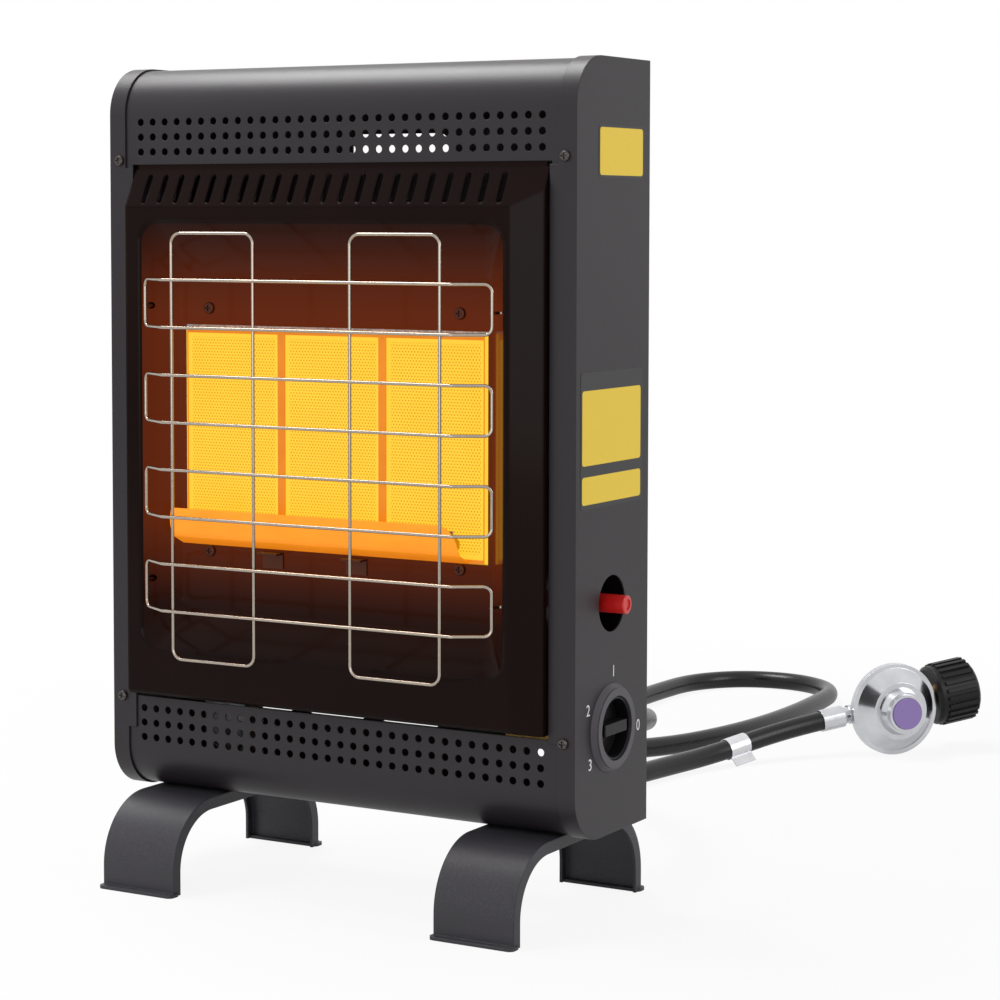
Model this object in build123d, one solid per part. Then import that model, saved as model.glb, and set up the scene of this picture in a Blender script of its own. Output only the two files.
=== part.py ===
from build123d import *
import math
import os

# Portable infrared propane heater: sheet-steel cabinet on two arched feet, enamelled reflector
# with three ceramic burner plates, wire guard, side controls, and a hose with its regulator.
# Millimetres. X to the right, Y to the back, Z up from the floor. Housing pieces are drawn about
# the housing's own middle plane and moved by HOUSING_X; the hose route is in final coordinates.

# ---- driving dimensions ------------------------------------------------------------------
HOUSING_W, HOUSING_D, HOUSING_H = 360.0, 100.0, 495.0
FOOT_H = 58.0
CORNER_R = 32.0
CAP_T = 1.2                      # end-cap sheet
COVER_T = 0.9                    # cover and back sheet
FIT = 0.1                        # gap between nested sheets
HOUSING_X = -5.5                 # knob and button make the right side stick out further

HALF_W, FRONT, BACK = HOUSING_W / 2, -HOUSING_D / 2, HOUSING_D / 2
BOTTOM, TOP = FOOT_H, FOOT_H + HOUSING_H

RIM = 12.7                       # end-cap rim
FLANGE = 19.0                    # wider front flange beside the reflector
COVER_EDGE_TOP = 487.0
COVER_EDGE_BOTTOM = 124.5
HOLE_PITCH, HOLE_D, HOLE_COLUMNS, HOLE_ROWS = 10.0, 5.0, 32, 3
TOP_GRID_Z, BOTTOM_GRID_Z = 505.5, 106.2
CAP_SCREW_X, CAP_SCREW_Z = 171.9, (489.8, 123.5)

DISH_X = -7.5                    # reflector opening and burner sit left of the middle
PANEL_W, PANEL_TOP, PANEL_BOTTOM = 320.0, 484.0, 127.5
PANEL_FACE = FRONT - 10.0
PANEL_T = 1.0
DISH_W, DISH_TOP, DISH_BOTTOM = 283.0, 450.0, 160.0
DISH_FLOOR_Y = FRONT + 11.0
FLOOR_W, FLOOR_TOP, FLOOR_BOTTOM = 244.0, 414.5, 186.5
SLOT_N, SLOT_PITCH, SLOT_W, SLOT_Z = 22, 13.1, 3.8, (461.0, 480.0)

TILE_W, TILE_H, TILE_T, TILE_PITCH, TILE_Z = 78.6, 146.0, 13.0, 79.0, 304.0
TILE_FACE_Y = DISH_FLOOR_Y + 0.5
PLENUM_W, PLENUM_H, PLENUM_D = 240.0, 147.6, 40.0
BURNER_SCREW_X, BURNER_SCREW_Z = 98.0, (390.7, 226.5)

WIRE_D = 2.2
RAIL_Y, POST_Y, HOOK_Y = FRONT - 25.3, FRONT - 23.08, FRONT - 12.0
RAIL_TOP, RAIL_PITCH, RAIL_LOOPS = 410.2, 31.6, 4
POST_X = ((-112.0, -46.5), (28.5, 95.5))
POST_Z = (157.0, 441.0)

CONTROL_Y = -0.5
KNOB_Z, IGNITER_Z = 126.6, 206.6
INLET_X, INLET_Z = 122.0, 100.0

FOOT_X, FOOT_Y, FOOT_W, FOOT_L, FOOT_T = 130.0, -2.5, 58.0, 184.0, 2.0

HOSE_D = 16.0
REG_CENTRE = Vector(129, 606, 38.9)
REG_ANGLE = 48.0                 # heading of the regulator's inlet, from +X towards +Y
REG_TILT = 9.0
REG_R = 38.5
GAS_BACK = 14.0                  # gas axis behind the diaphragm's plane

nodes = {}


# ---- helpers -----------------------------------------------------------------------------
def box(x0, x1, y0, y1, z0, z1):
    return Pos((x0 + x1) / 2, (y0 + y1) / 2, (z0 + z1) / 2) * Box(x1 - x0, y1 - y0, z1 - z0)


def rod(a, b, radius):
    """A round bar from point a to point b."""
    start, along = Vector(a), Vector(b) - Vector(a)
    return Plane(origin=start, z_dir=along) * extrude(Circle(radius), along.length)


def ring(a, b, outer, inner):
    return rod(a, b, outer) - rod(a, b, inner)


def hexagon(a, b, across_flats, bore=0):
    start, along = Vector(a), Vector(b) - Vector(a)
    body = Plane(origin=start, z_dir=along) * extrude(
        RegularPolygon(across_flats / 2, 6, major_radius=False), along.length
    )
    return body - rod(a, b, bore / 2) if bore else body


def bent_tube(points, radius, bends, bore=0):
    """A tube along straight runs joined by arcs of the given bend radii."""
    if isinstance(bends, (int, float)):
        bends = [bends] * (len(points) - 2)
    path = FilletPolyline(*points, radius=bends)
    start = Plane(origin=path @ 0, z_dir=path % 0)
    profile = Circle(radius) - Circle(bore) if bore else Circle(radius)
    return sweep(start * profile, path=path), path


def pan_screw(x, y, z, direction, head=7.0, shank=3.6, length=9.0):
    """A cross-recessed pan-head screw. The head sits on (x, y, z) and the shank runs along direction."""
    point, along = Vector(x, y, z), Vector(*direction).normalized()
    plane = Plane(origin=point, z_dir=along * -1)
    dome = plane * extrude(Circle(head / 2), 2.3)
    dome = fillet(dome.edges().filter_by(GeomType.CIRCLE).sort_by(lambda e: (e.center() - point).length)[-1:], 1.4)
    cross = Rectangle(head * 0.55, 0.9) + Rectangle(0.9, head * 0.55)
    dome -= plane * Pos(0, 0, 1.0) * extrude(cross, 2)
    return dome + Plane(origin=point, z_dir=along) * extrude(Circle(shank / 2), length)


def cabinet_section(inset):
    """The cabinet's side outline: round front corners, square back ones. Y and Z in the YZ plane."""
    r = CORNER_R - inset
    y0, y1, z0, z1 = FRONT + inset, BACK - inset, BOTTOM + inset, TOP - inset
    outline = Polyline((y1, z0), (y0 + r, z0)) + Polyline((y0, z0 + r), (y0, z1 - r))
    outline += Polyline((y0 + r, z1), (y1, z1), (y1, z0))
    k = r * math.sqrt(0.5)
    outline += ThreePointArc((y0 + r, z0), (y0 + r - k, z0 + r - k), (y0, z0 + r))
    outline += ThreePointArc((y0, z1 - r), (y0 + r - k, z1 - r + k), (y0 + r, z1))
    return Plane.YZ * make_face(outline)


def cabinet_block(inset, x0, x1):
    return Pos(x0, 0, 0) * extrude(cabinet_section(inset), x1 - x0)


def punched(columns, rows, pitch, diameter, x, y, z):
    """A grid of round punches that cross the front sheet."""
    holes = Sketch() + [at * Circle(diameter / 2) for at in GridLocations(pitch, pitch, columns, rows)]
    return Pos(x, y + 10, z) * extrude(Plane.XZ * holes, 20)


def save(name, solid, at_housing=True):
    nodes[name] = Pos(HOUSING_X, 0, 0) * solid if at_housing else solid


# ---- cabinet -----------------------------------------------------------------------------
def end_cap(side, flange_z0):
    """Pan-shaped side panel; side is +1 for the right one. Its rim wraps over the covers."""
    x0, x1 = sorted((side * (HALF_W - RIM), side * HALF_W))
    inner = sorted((side * (HALF_W - RIM - 1), side * (HALF_W - CAP_T)))
    cap = cabinet_block(0, x0, x1) - cabinet_block(CAP_T, *inner)
    lip = sorted((side * (HALF_W - FLANGE), side * (HALF_W - RIM + 1)))
    cap += box(*lip, FRONT, FRONT + CAP_T, flange_z0, COVER_EDGE_TOP - 2)
    for z in CAP_SCREW_Z:
        cap -= rod((side * CAP_SCREW_X, FRONT - 1, z), (side * CAP_SCREW_X, FRONT + 3, z), 2.1)
    for z in BACK_SCREW_Z:
        cap -= rod((side * CAP_SCREW_X, BACK + 1, z), (side * CAP_SCREW_X, BACK - 3, z), 2.1)
    return cap


BACK_SCREW_Z = (95.0, 306.0, 517.0)
BEZEL_HOLE_R, IGNITER_HOLE_R = 23.4, 18.2
left_cap = end_cap(-1, 102.5)
right_cap = end_cap(1, 122.5)
through_side = ((HALF_W - 5, CONTROL_Y, KNOB_Z), (HALF_W + 5, CONTROL_Y, KNOB_Z))
right_cap -= rod(*through_side, BEZEL_HOLE_R)
right_cap -= Pos(0, 0, IGNITER_Z - KNOB_Z) * rod(*through_side, IGNITER_HOLE_R)
save("left_end_cap", left_cap)
save("right_end_cap", right_cap)

COVER_HALF = HALF_W - CAP_T - FIT
COVER_IN = CAP_T + FIT


def cover(front_z0, front_z1, back_z0, back_z1, tab_z0, tab_z1, grid_z):
    """Bent cover: perforated front, round nose, flat top or bottom, and a short lip at the back."""
    shell = cabinet_block(COVER_IN, -COVER_HALF, COVER_HALF)
    shell -= cabinet_block(COVER_IN + COVER_T, -COVER_HALF - 1, COVER_HALF + 1)
    keep = box(-HALF_W, HALF_W, FRONT - 1, BACK - 8, front_z0, front_z1)
    keep += box(-HALF_W, HALF_W, BACK - 9, BACK, back_z0, back_z1)
    for side in (-1, 1):
        edge = sorted((side * (HALF_W - FLANGE + 1), side * HALF_W))
        keep += box(*edge, FRONT, FRONT + 5, tab_z0, tab_z1)
        for z in CAP_SCREW_Z:
            keep -= rod((side * CAP_SCREW_X, FRONT - 1, z), (side * CAP_SCREW_X, FRONT + 6, z), 2.0)
        for z in BACK_SCREW_Z:
            keep -= rod((side * CAP_SCREW_X, BACK - 6, z), (side * CAP_SCREW_X, BACK + 1, z), 2.0)
    grid = punched(HOLE_COLUMNS, HOLE_ROWS, HOLE_PITCH, HOLE_D, 0, FRONT, grid_z)
    return (shell & keep) - grid


top_cover = cover(COVER_EDGE_TOP, TOP, 536, TOP, 476, COVER_EDGE_TOP + 1, TOP_GRID_Z)
bottom_cover = cover(BOTTOM, COVER_EDGE_BOTTOM, BOTTOM, 75, COVER_EDGE_BOTTOM - 1, 134, BOTTOM_GRID_Z)
FOOT_SCREW_Y = (-12.0, 32.0)
for side in (-1, 1):
    for y in FOOT_SCREW_Y:
        bottom_cover -= rod((side * FOOT_X, y, BOTTOM - 1), (side * FOOT_X, y, BOTTOM + 5), 2.3)
save("top_cover", top_cover)
save("bottom_cover", bottom_cover)

BACK_FACE = BACK - COVER_IN - COVER_T - FIT
HAND_HOLD = (-46.0, 31.0, 484.0, 508.5)
back_panel = box(-177.5, 177.5, BACK_FACE - COVER_T, BACK_FACE, BOTTOM + 5, TOP - 5)


def back_opening(x0, x1, z0, z1, r):
    face = Pos((x0 + x1) / 2, (z0 + z1) / 2) * RectangleRounded(x1 - x0, z1 - z0, r)
    return Pos(0, BACK + 5, 0) * extrude(Plane.XZ * face, 12)


back_panel -= back_opening(*HAND_HOLD, 8)
INLET_CUT = (96.0, 142.0, 87.0, 118.0)
back_panel -= back_opening(*INLET_CUT, 8)
VENT_ROWS, VENT_W, VENT_H = 5, 46.0, 5.0
for row in range(VENT_ROWS):
    for x in (-120, -60, 0, 60, 120):
        z = 404 + row * 12
        back_panel -= back_opening(x - VENT_W / 2, x + VENT_W / 2, z, z + VENT_H, 2.4)
        if x < 60:
            back_panel -= back_opening(x - VENT_W / 2, x + VENT_W / 2, z - 300, z - 300 + VENT_H, 2.4)
for side in (-1, 1):
    for z in BACK_SCREW_Z:
        back_panel -= rod((side * CAP_SCREW_X, BACK - 8, z), (side * CAP_SCREW_X, BACK, z), 2.0)
save("back_panel", back_panel)

front_screws = [
    pan_screw(side * CAP_SCREW_X, FRONT - 0.02, z, (0, 1, 0)) for side in (-1, 1) for z in CAP_SCREW_Z
]
back_screws = [
    pan_screw(side * CAP_SCREW_X, BACK + 0.02, z, (0, -1, 0)) for side in (-1, 1) for z in BACK_SCREW_Z
]
save("front_cap_screws", Part() + front_screws)
save("back_cap_screws", Part() + back_screws)


# ---- reflector ---------------------------------------------------------------------------
SHOULDER_H, SHOULDER_D = 25.0, 12.5
MARGIN_W, MARGIN_D = 22.0, 5.0


def panel_form(inset):
    """The enamelled panel's outside: a block with a long slope on top and a shallow one on the right."""
    half = PANEL_W / 2 - inset
    z0, z1 = PANEL_BOTTOM + inset, PANEL_TOP - inset
    y0, y1 = PANEL_FACE + inset, FRONT + 4
    form = box(-half, half, y0, y1, z0, z1)
    slope = Plane.YZ * make_face(
        Polyline((y0 - 1, z1 + 1), (y0 + SHOULDER_D, z1 + 1), (y0 + SHOULDER_D, z1),
                 (y0, z1 - SHOULDER_H), (y0 - 1, z1 - SHOULDER_H), (y0 - 1, z1 + 1))
    )
    form -= Pos(-half - 1, 0, 0) * extrude(slope, 2 * half + 2)
    margin = make_face(
        Polyline((half + 1, y0 - 1), (half - MARGIN_W, y0 - 1), (half - MARGIN_W, y0),
                 (half, y0 + MARGIN_D), (half + 1, y0 + MARGIN_D), (half + 1, y0 - 1))
    )
    form -= Pos(0, 0, z0 - 1) * extrude(margin, z1 - z0 + 2)
    lower = form.edges().filter_by(Axis.X).group_by(Axis.Z)[0].sort_by(Axis.Y)[:1]
    return fillet(lower, 4.0 - inset)


def dish_form(inset):
    """The hollow of the dish: rounded mouth tapering to the flat floor that holds the burner."""
    mouth_z, floor_z = (DISH_TOP + DISH_BOTTOM) / 2, (FLOOR_TOP + FLOOR_BOTTOM) / 2
    mouth = Plane(origin=(DISH_X, PANEL_FACE - 0.01, mouth_z), x_dir=(1, 0, 0), z_dir=(0, -1, 0))
    floor = Plane(origin=(DISH_X, DISH_FLOOR_Y + inset, floor_z), x_dir=(1, 0, 0), z_dir=(0, -1, 0))
    wide = RectangleRounded(DISH_W + 2 * inset, DISH_TOP - DISH_BOTTOM + 2 * inset, 14)
    narrow = RectangleRounded(FLOOR_W + 2 * inset, FLOOR_TOP - FLOOR_BOTTOM + 2 * inset, 8)
    return loft([mouth * wide, floor * narrow])


LIP_R = 3.2


def panel_block(inset):
    """The panel's outside with the dish sunk into it, its mouth rounded. Two of these make the sheet."""
    block = panel_form(inset) - dish_form(inset)
    mouth = [edge for edge in block.edges() if abs(edge.center().Y - PANEL_FACE - inset) < 0.05
             and abs(edge.center().X - DISH_X) < DISH_W / 2 + 3
             and DISH_BOTTOM - 3 < edge.center().Z < DISH_TOP + 3]
    return fillet(mouth, LIP_R - inset)


reflector = panel_block(0) - panel_block(PANEL_T) - box(-200, 200, FRONT + 3, FRONT + 9, 100, 500)
reflector += dish_form(PANEL_T) & box(-200, 200, FRONT + 2.9, FRONT + 20, 100, 500)
reflector -= dish_form(0)
reflector += box(-158, 158, FRONT + 2.4, FRONT + 3.4, PANEL_TOP - 1.5, PANEL_TOP + 7)
BURNER_HOLE = (-122.0 + DISH_X + 3.5, 122.0 + DISH_X - 3.5, 230.5, 379.5)
reflector -= box(BURNER_HOLE[0], BURNER_HOLE[1], DISH_FLOOR_Y - 2, DISH_FLOOR_Y + 4, *BURNER_HOLE[2:])
for i in range(SLOT_N):
    x = DISH_X - 0.7 + (i - (SLOT_N - 1) / 2) * SLOT_PITCH
    slot = Pos(x, (SLOT_Z[0] + SLOT_Z[1]) / 2) * SlotOverall(SLOT_Z[1] - SLOT_Z[0], SLOT_W, rotation=90)
    reflector -= Pos(0, FRONT + 6, 0) * extrude(Plane.XZ * slot, 20)
EAR_Z = (150.0, 300.0, 455.0)
for side in (-1, 1):
    for z in EAR_Z:
        reflector += box(*sorted((side * 159, side * 172)), FRONT + 1.3, FRONT + 2.3, z - 8, z + 8)
for side in (-1, 1):
    for z in BURNER_SCREW_Z:
        x = DISH_X + side * BURNER_SCREW_X
        reflector -= rod((x, DISH_FLOOR_Y - 3, z), (x, DISH_FLOOR_Y + 4, z), 2.2)
HOOK_Z = (RAIL_TOP - 18.0, RAIL_TOP - 7 * RAIL_PITCH + 18.0)
for z in HOOK_Z:
    reflector -= rod((DISH_X - 150, FRONT - 3.5, z), (DISH_X + 150, FRONT - 3.5, z), 2.4)
save("reflector_panel", reflector)


# ---- burner ------------------------------------------------------------------------------
burner_z0, burner_z1 = TILE_Z - PLENUM_H / 2, TILE_Z + PLENUM_H / 2
for i in range(3):
    x = DISH_X + (i - 1) * TILE_PITCH
    tile = box(x - TILE_W / 2 + 0.6, x + TILE_W / 2 - 0.6, TILE_FACE_Y, TILE_FACE_Y + TILE_T,
               TILE_Z - TILE_H / 2, TILE_Z + TILE_H / 2)
    save(f"ceramic_plate_{i + 1}", tile)

half_p = PLENUM_W / 2
plenum_y0 = DISH_FLOOR_Y + PANEL_T + COVER_T + 2 * FIT
plenum_y1 = plenum_y0 + PLENUM_D
plenum = box(DISH_X - half_p, DISH_X + half_p, plenum_y0, plenum_y1, burner_z0 - 1.6, burner_z1 + 1.6)
plenum -= box(DISH_X - half_p + 1.2, DISH_X + half_p - 1.2, plenum_y0 - 1, plenum_y1 - 1.2,
              burner_z0 - 0.4, burner_z1 + 0.4)
for x in (-TILE_PITCH / 2, TILE_PITCH / 2):
    plenum += box(DISH_X + x - 0.5, DISH_X + x + 0.5, TILE_FACE_Y + 2, TILE_FACE_Y + TILE_T + 2,
                  burner_z0 - 0.5, burner_z1 + 0.5)
plenum += box(DISH_X - half_p + 1, DISH_X + half_p - 1, TILE_FACE_Y + TILE_T + 0.05, TILE_FACE_Y + TILE_T + 1.2,
              burner_z0 - 0.5, burner_z1 + 0.5)
plenum -= box(DISH_X - half_p + 8, DISH_X + half_p - 8, TILE_FACE_Y + TILE_T - 1, TILE_FACE_Y + TILE_T + 2.2,
              burner_z0 + 8, burner_z1 - 8)
TUBE_X, TUBE_Y, TUBE_R = 5.0, -10.0, 11.0
plenum -= rod((TUBE_X, TUBE_Y, burner_z0 - 5), (TUBE_X, TUBE_Y, burner_z0 + 2), TUBE_R + 0.05)
save("burner_plenum", plenum)

baffle = box(DISH_X - 105, DISH_X + 105, plenum_y1 - 14.8, plenum_y1 - 14, burner_z0 + 22, burner_z1 - 12)
for sx in (-90, 90):
    for z in (burner_z0 + 32, burner_z1 - 22):
        baffle += rod((DISH_X + sx, plenum_y1 - 14.4, z), (DISH_X + sx, plenum_y1 - 1.3, z), 3)
for gx in range(-4, 5):
    for gz in range(-2, 3):
        baffle -= rod((DISH_X + gx * 18 + 9, plenum_y1 - 16, TILE_Z + 5 + gz * 20),
                      (DISH_X + gx * 18 + 9, plenum_y1 - 13, TILE_Z + 5 + gz * 20), 2.5)
save("gas_baffle", baffle)

frame = box(DISH_X - half_p + 4, DISH_X + half_p - 4, TILE_FACE_Y - 1.6, TILE_FACE_Y - 0.6,
            burner_z0 + 0.8, burner_z1 + 0.2)
for i in range(3):
    x = DISH_X + (i - 1) * TILE_PITCH
    frame -= box(x - 36.7, x + 36.7, TILE_FACE_Y - 3, TILE_FACE_Y + 1, TILE_Z - 70.5, TILE_Z + 70.0)
frame += box(DISH_X - half_p + 4, DISH_X + half_p - 4, TILE_FACE_Y - 8.5, TILE_FACE_Y - 0.6,
             burner_z1 - 1.0, burner_z1 + 0.2)
save("burner_face_frame", frame)

PLATE = (DISH_X - 121.0, DISH_X + 121.0, 190.0, 411.0)
plate_y = DISH_FLOOR_Y + PANEL_T + FIT
bracket = box(PLATE[0], PLATE[1], plate_y, plate_y + COVER_T, PLATE[2], PLATE[3])
bracket -= box(DISH_X - half_p + 1.8, DISH_X + half_p - 1.8, plate_y - 1, plate_y + 2,
               burner_z0 - 0.2, burner_z1 + 0.2)
for side in (-1, 1):
    for z in BURNER_SCREW_Z:
        x = DISH_X + side * BURNER_SCREW_X
        bracket -= rod((x, plate_y - 3, z), (x, plate_y + 4, z), 2.0)
save("burner_mounting_plate", bracket)

burner_screws = [
    pan_screw(DISH_X + side * BURNER_SCREW_X, DISH_FLOOR_Y - 0.02, z, (0, 1, 0), head=8.0, length=6)
    for side in (-1, 1) for z in BURNER_SCREW_Z
]
save("burner_screws", Part() + burner_screws)

# Deflector: a scoop along the bottom of the plates, held by two clips.
SCOOP_X0, SCOOP_X1 = -126.5, 98.0
SCOOP_T = 1.0
low, knee, lip = (-2.4, 232.0), (-13.0, 237.0), (-15.0, 256.0)     # from the dish floor, and height


def scoop_side(shift):
    """One face of the scoop sheet: flat under the plates, then a curved lip leaning forward."""
    points = [(DISH_FLOOR_Y + y - shift * k, z - shift * (1 - k)) for (y, z), k in ((low, 0), (knee, 0.6), (lip, 1))]
    bulge = (DISH_FLOOR_Y - 16.5 - shift, 246.0)
    return Polyline(*points[:2]) + ThreePointArc(points[1], bulge, points[2]), points[0], points[2]


outside, outside_low, outside_lip = scoop_side(SCOOP_T)
inside, inside_low, inside_lip = scoop_side(0)
scoop_face = make_face(outside + inside + Line(outside_low, inside_low) + Line(outside_lip, inside_lip))
scoop = Pos(SCOOP_X0, 0, 0) * extrude(Plane.YZ * scoop_face, SCOOP_X1 - SCOOP_X0)
corner_cut = box(SCOOP_X1 - 16, SCOOP_X1 + 1, -90, -30, 240, 260)
corner_cut -= rod((SCOOP_X1 - 16, -90, 240), (SCOOP_X1 - 16, -30, 240), 16)
scoop -= corner_cut
save("flame_deflector", scoop)

CLIP_X = (-54.0, 12.0)
clips = []
for x in CLIP_X:
    clip = box(x - 8, x + 8, DISH_FLOOR_Y - 9, DISH_FLOOR_Y - 0.05, 227.6, 228.8)
    clip += box(x - 8, x + 8, DISH_FLOOR_Y - 1.2, DISH_FLOOR_Y - 0.05, 218.0, 228.8)
    clips.append(clip)
save("deflector_clips", Part() + clips)

mixing_tube = rod((TUBE_X, TUBE_Y, 152), (TUBE_X, TUBE_Y, burner_z0 + 1.5), TUBE_R)
flare = Plane(origin=(TUBE_X, TUBE_Y, 152)) * loft([Circle(16), Pos(0, 0, 12) * Circle(TUBE_R)])
mixing_tube += flare
mixing_tube -= rod((TUBE_X, TUBE_Y, 158), (TUBE_X, TUBE_Y, burner_z0 + 3), TUBE_R - 1.2)
mixing_tube -= Plane(origin=(TUBE_X, TUBE_Y, 151)) * loft([Circle(14.8), Pos(0, 0, 13) * Circle(TUBE_R - 1.2)])
mixing_tube -= box(TUBE_X - 20, TUBE_X + 20, TUBE_Y - 3, TUBE_Y + 3, 151, 155)
save("mixing_tube", mixing_tube)

# ---- gas control -------------------------------------------------------------------------
VALVE_X0, VALVE_X1 = 112.0, 148.0
valve = box(VALVE_X0, VALVE_X1, CONTROL_Y - 17, CONTROL_Y + 17, KNOB_Z - 16, KNOB_Z + 16)
valve = chamfer(valve.edges().filter_by(Axis.X), 4)
axis_at = (CONTROL_Y, KNOB_Z)
valve += rod((VALVE_X1 - 1, *axis_at), (VALVE_X1 + 5, *axis_at), 12)
valve += hexagon((VALVE_X0 - 16, *axis_at), (VALVE_X0 + 1, *axis_at), 17)
valve += rod((126, CONTROL_Y, KNOB_Z + 15), (126, CONTROL_Y, KNOB_Z + 24), 6)
valve += rod((138, CONTROL_Y - 6, KNOB_Z + 15), (138, CONTROL_Y - 6, KNOB_Z + 22), 3.6)
valve += rod((INLET_X, CONTROL_Y + 16, INLET_Z + 14), (INLET_X, CONTROL_Y + 24, INLET_Z + 14), 7)
STEM_R = 4.0
valve -= rod((VALVE_X1 - 22, *axis_at), (VALVE_X1 + 6, *axis_at), STEM_R + 0.4)
save("gas_valve", valve)

# Valve bracket: plate behind the knob, folded back to the side panel above and below.
plate = box(153.2, 154.4, CONTROL_Y - 30, CONTROL_Y + 30, KNOB_Z - 26, KNOB_Z + 26)
plate -= rod((150, *axis_at), (158, *axis_at), 12.2)
for dy in (-27, 27):
    plate += box(153.2, HALF_W - CAP_T - 0.1, CONTROL_Y + dy - 1.5, CONTROL_Y + dy + 1.5, KNOB_Z - 12, KNOB_Z + 12)
ears = box(VALVE_X1 + 0.05, 153.2, CONTROL_Y - 15, CONTROL_Y - 12.5, KNOB_Z - 8, KNOB_Z + 8)
ears += box(VALVE_X1 + 0.05, 153.2, CONTROL_Y + 12.5, CONTROL_Y + 15, KNOB_Z - 8, KNOB_Z + 8)
save("valve_bracket", plate + ears)

BEZEL_FRONT = HALF_W + 4.2
bezel = Plane(origin=(HALF_W + 0.02, *axis_at), z_dir=(1, 0, 0)) * loft(
    [Circle(29), Pos(0, 0, 3.4) * Circle(26.4)]
)
bezel += rod((HALF_W + 3.3, *axis_at), (BEZEL_FRONT, *axis_at), 25.6)
bezel += rod((HALF_W - 8, *axis_at), (HALF_W + 0.5, *axis_at), BEZEL_HOLE_R - 0.3)
BEZEL_BORE = 20.7
bezel -= rod((HALF_W - 9, *axis_at), (BEZEL_FRONT + 1, *axis_at), BEZEL_BORE)
save("knob_bezel", bezel)

KNOB_R = BEZEL_BORE - 0.4
knob_back = BEZEL_FRONT - 13
knob = rod((knob_back, *axis_at), (knob_back + 2.4, *axis_at), KNOB_R)
knob += ring((knob_back, *axis_at), (BEZEL_FRONT - 1.2, *axis_at), KNOB_R, KNOB_R - 1.4)
grip = box(knob_back + 1, BEZEL_FRONT - 0.6, CONTROL_Y - 15, CONTROL_Y + 15, KNOB_Z - 3.8, KNOB_Z + 3.8)
knob += fillet(grip.edges().group_by(Axis.X)[-1], 0.8)
knob += rod((knob_back - 8, *axis_at), (knob_back + 1, *axis_at), 7.5)
knob -= rod((knob_back - 9, *axis_at), (knob_back - 1, *axis_at), STEM_R)
save("control_knob", knob)
save("valve_stem", rod((VALVE_X1 - 14, *axis_at), (knob_back - 1, *axis_at), STEM_R))

save("stem_collar", ring((158.6, *axis_at), (161.0, *axis_at), 8.0, STEM_R + 0.05))

# Piezo igniter: body on its own bracket, with the red push button in its bore.
ig_at = (CONTROL_Y - 1.0, IGNITER_Z)
BUTTON_R, BUTTON_TIP = 6.0, HALF_W + 11.8
piezo = rod((104, *ig_at), (163, *ig_at), 9.5)
piezo += hexagon((150, *ig_at), (155, *ig_at), 24)
piezo -= rod((130, *ig_at), (164, *ig_at), BUTTON_R + 0.4)
piezo += rod((96, *ig_at), (104.5, *ig_at), 3)
save("piezo_igniter", piezo)
button = rod((140, *ig_at), (BUTTON_TIP, *ig_at), BUTTON_R)
button = fillet(button.edges().filter_by(GeomType.CIRCLE).sort_by(Axis.X)[-1:], 0.9)
button -= rod((BUTTON_TIP - 0.8, *ig_at), (BUTTON_TIP + 1, *ig_at), 3.6)
save("igniter_button", button)

holder = box(155.1, 156.3, CONTROL_Y - 20, CONTROL_Y + 20, IGNITER_Z - 26, IGNITER_Z + 26)
holder -= rod((154, *ig_at), (158, *ig_at), 9.6)
for dz in (-25, 25):
    holder += box(155.1, HALF_W - CAP_T - 0.1, CONTROL_Y - 20, CONTROL_Y + 20,
                  IGNITER_Z + dz - 0.6, IGNITER_Z + dz + 0.6)
save("igniter_bracket", holder)

# ---- gas pipes and pilot -----------------------------------------------------------------
injector = hexagon((TUBE_X, TUBE_Y, 138), (TUBE_X, TUBE_Y, 148), 14)
injector += rod((TUBE_X, TUBE_Y, 147), (TUBE_X, TUBE_Y, 156), 4)
injector -= rod((TUBE_X, TUBE_Y, 150), (TUBE_X, TUBE_Y, 157), 0.8)
injector += box(TUBE_X - 7, TUBE_X + 12, TUBE_Y - 6, TUBE_Y + 6, 127, 138.5)
save("gas_injector", injector)

main_pipe, _ = bent_tube(
    [(VALVE_X0 - 16, CONTROL_Y, KNOB_Z), (60, CONTROL_Y, KNOB_Z), (44, TUBE_Y, 132.5), (TUBE_X + 12, TUBE_Y, 132.5)],
    4.0, [8, 8],
)
save("burner_supply_pipe", main_pipe)

PILOT_X, PILOT_Y, PILOT_Z = 78.0, DISH_FLOOR_Y - 7.5, 243.0
pilot = rod((PILOT_X - 16, PILOT_Y, PILOT_Z), (PILOT_X + 8, PILOT_Y, PILOT_Z), 3.5)
pilot += hexagon((PILOT_X + 8, PILOT_Y, PILOT_Z), (PILOT_X + 14, PILOT_Y, PILOT_Z), 8)
save("pilot_burner", pilot)
electrode = rod((40, PILOT_Y, PILOT_Z + 3), (56, PILOT_Y, PILOT_Z + 3), 2.5)
electrode += rod((55, PILOT_Y, PILOT_Z + 3), (60.5, PILOT_Y, PILOT_Z + 3), 0.9)
save("spark_electrode", electrode)
probe = rod((34, PILOT_Y + 0.5, PILOT_Z - 4.6), (60, PILOT_Y + 0.5, PILOT_Z - 4.6), 1.8)
save("thermocouple_tip", probe)
pilot_bracket = box(44, 86, TILE_FACE_Y - 2.5, TILE_FACE_Y - 1.7, 235, 251)
for x in (46, 82):
    pilot_bracket += box(x, x + 1.2, DISH_FLOOR_Y - 12.6, TILE_FACE_Y - 1.7, 237.5, 251)
for a, b, r in (((30, PILOT_Y, PILOT_Z + 3), (60, PILOT_Y, PILOT_Z + 3), 2.8),
                ((30, PILOT_Y + 0.5, PILOT_Z - 4.6), (62, PILOT_Y + 0.5, PILOT_Z - 4.6), 2.1),
                ((60, PILOT_Y, PILOT_Z), (95, PILOT_Y, PILOT_Z), 3.8)):
    pilot_bracket -= rod(a, b, r)
save("pilot_bracket", pilot_bracket)

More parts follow.
